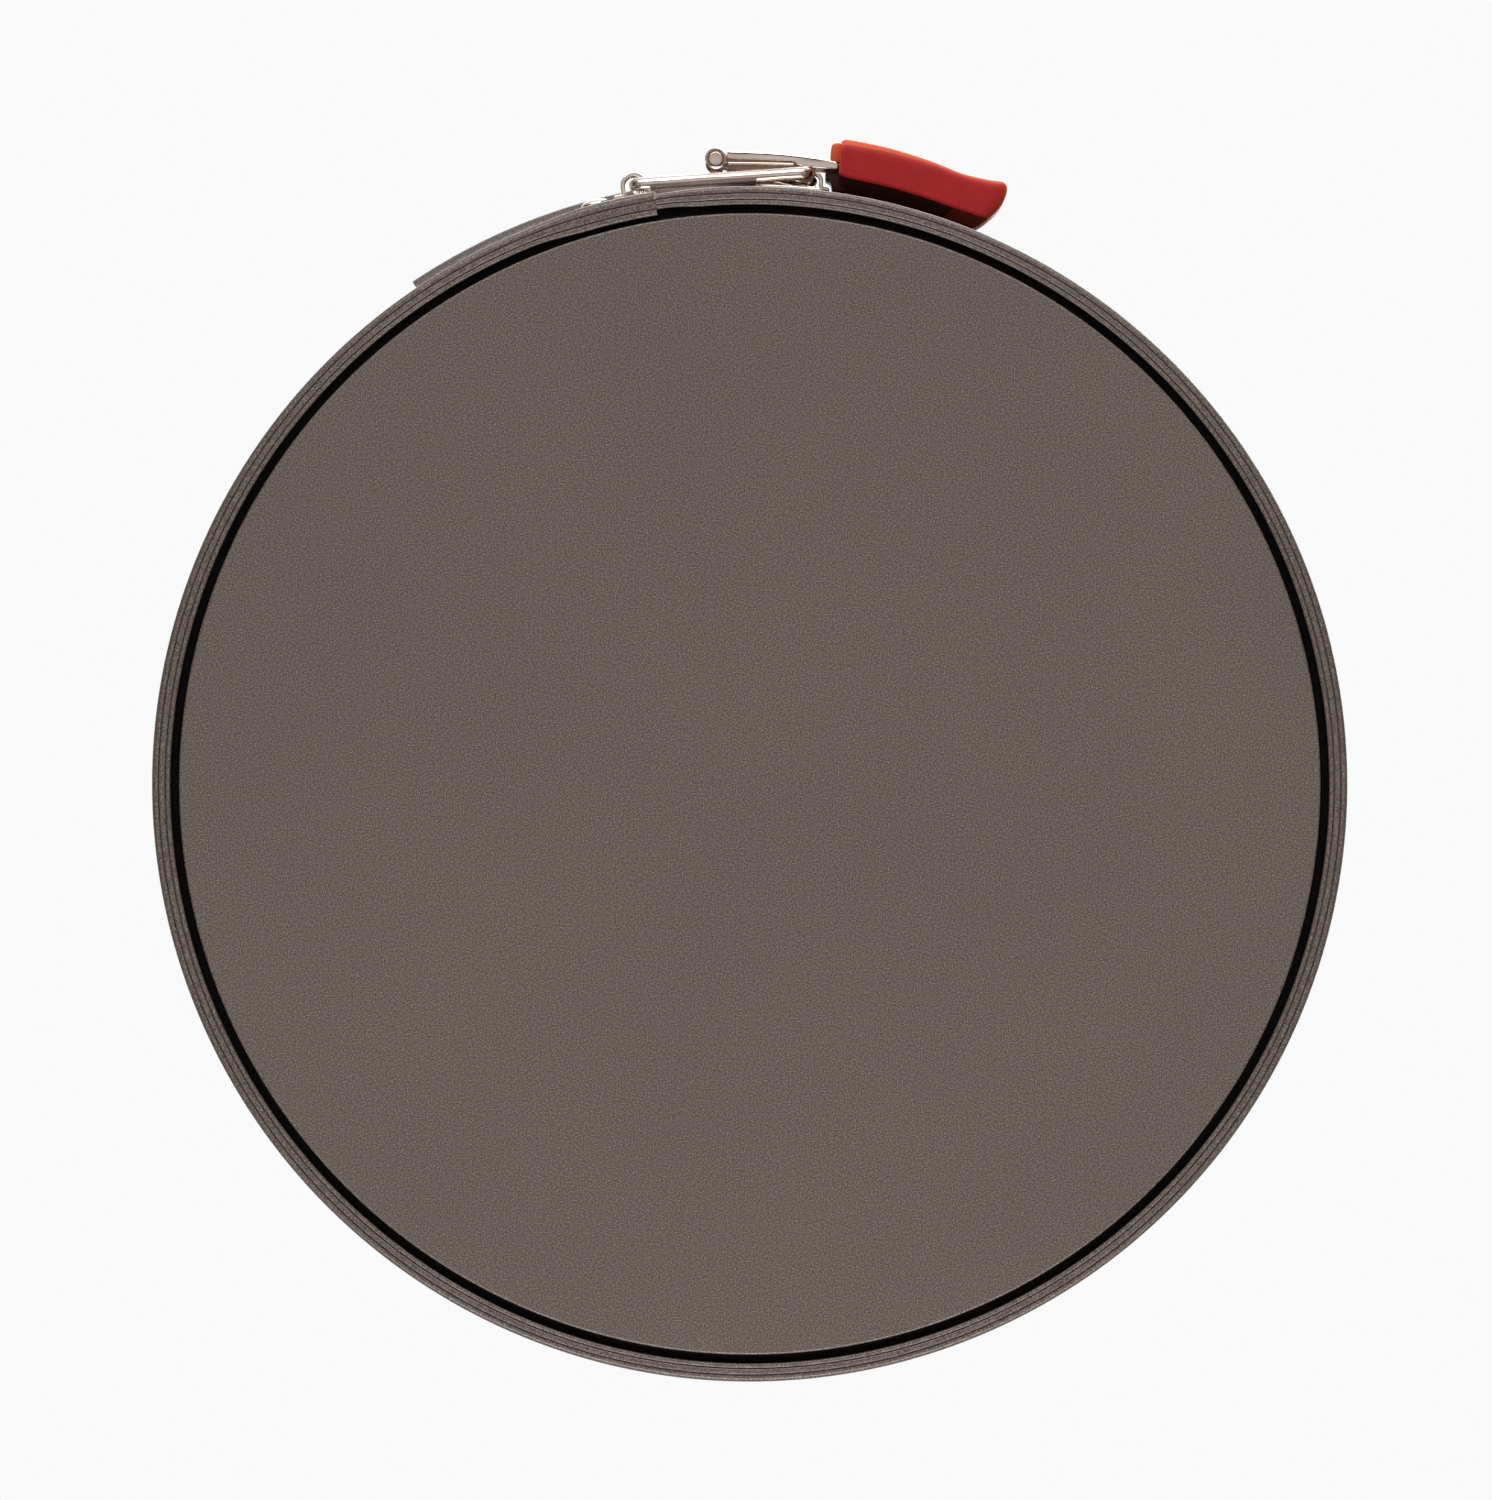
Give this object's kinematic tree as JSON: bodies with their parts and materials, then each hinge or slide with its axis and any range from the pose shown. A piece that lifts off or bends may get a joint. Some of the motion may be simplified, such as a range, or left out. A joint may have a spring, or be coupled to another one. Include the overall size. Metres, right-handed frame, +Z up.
{
  "type": "springform pan",
  "caption": "Round springform baking pan with a loose flat base, a coated steel ring, and an over-centre wire latch with a red silicone grip.",
  "frame": {"origin": "centre of the base's flat underside, on the plane the pan stands on", "axes": "+Z up along the pan's axis, -Y towards the latch, +X towards the end of the latch's grip"},
  "size_m": [0.2448, 0.2521, 0.0712],
  "materials": {
    "coated_steel": "dark grey non-stick coating with a fine metallic speckle, satin",
    "plated_steel": "bright nickel plating",
    "red_silicone": "smooth matte silicone"
  },
  "bodies": {
    "base": {"base_plate": "coated_steel"},
    "ring_back": {"band_back": "coated_steel"},
    "ring_left": {"band_left": "coated_steel", "rim_joint_sleeve": "coated_steel", "catch_plate": "plated_steel", "catch_rivet_low": "plated_steel", "catch_rivet_high": "plated_steel"},
    "ring_right": {"band_right": "coated_steel", "hinge_plate": "plated_steel", "hinge_rivet_low": "plated_steel", "hinge_rivet_high": "plated_steel"},
    "bail": {"bail_wire": "plated_steel"},
    "link": {"short_link": "plated_steel"},
    "lever": {"lever": "plated_steel", "silicone_grip": "red_silicone", "bail_tip_low": "plated_steel", "bail_tip_high": "plated_steel"}
  },
  "joints": [
    {"name": "ring_lift_off", "type": "slide", "parent": "base", "child": "ring_back", "axis": [0, 0, 1], "range_m": [0, 0.1]},
    {"name": "left_half_spring", "type": "hinge", "parent": "ring_back", "child": "ring_left", "pos_m": [-0.01708, 0.12151, 0.033], "axis": [0, 0, -1], "range_deg": [0, 2.9]},
    {"name": "right_half_spring", "type": "hinge", "parent": "ring_back", "child": "ring_right", "pos_m": [0.01708, 0.12151, 0.033], "axis": [0, 0, 1], "range_deg": [0, 2.9]},
    {"name": "bail_pivot", "type": "hinge", "parent": "ring_left", "child": "bail", "pos_m": [-0.0229, -0.1206, 0.033], "axis": [0, 0, -1], "range_deg": [0, 28.6]},
    {"name": "link_pivot", "type": "hinge", "parent": "ring_right", "child": "link", "pos_m": [0.0125, -0.1215, 0.033], "axis": [0, 0, -1], "range_deg": [0, 3]},
    {"name": "lever_pivot", "type": "hinge", "parent": "link", "child": "lever", "pos_m": [-0.00685, -0.1259, 0.033], "axis": [0, 0, -1], "range_deg": [0, 139.9]}
  ],
  "couplings": [
    {"joint": "left_half_spring", "follows": "lever_pivot", "ratio": 0.020221},
    {"joint": "right_half_spring", "follows": "lever_pivot", "ratio": 0.020221},
    {"joint": "bail_pivot", "follows": "lever_pivot", "ratio": 0.20375},
    {"joint": "link_pivot", "follows": "lever_pivot", "ratio": 0.020745}
  ]
}
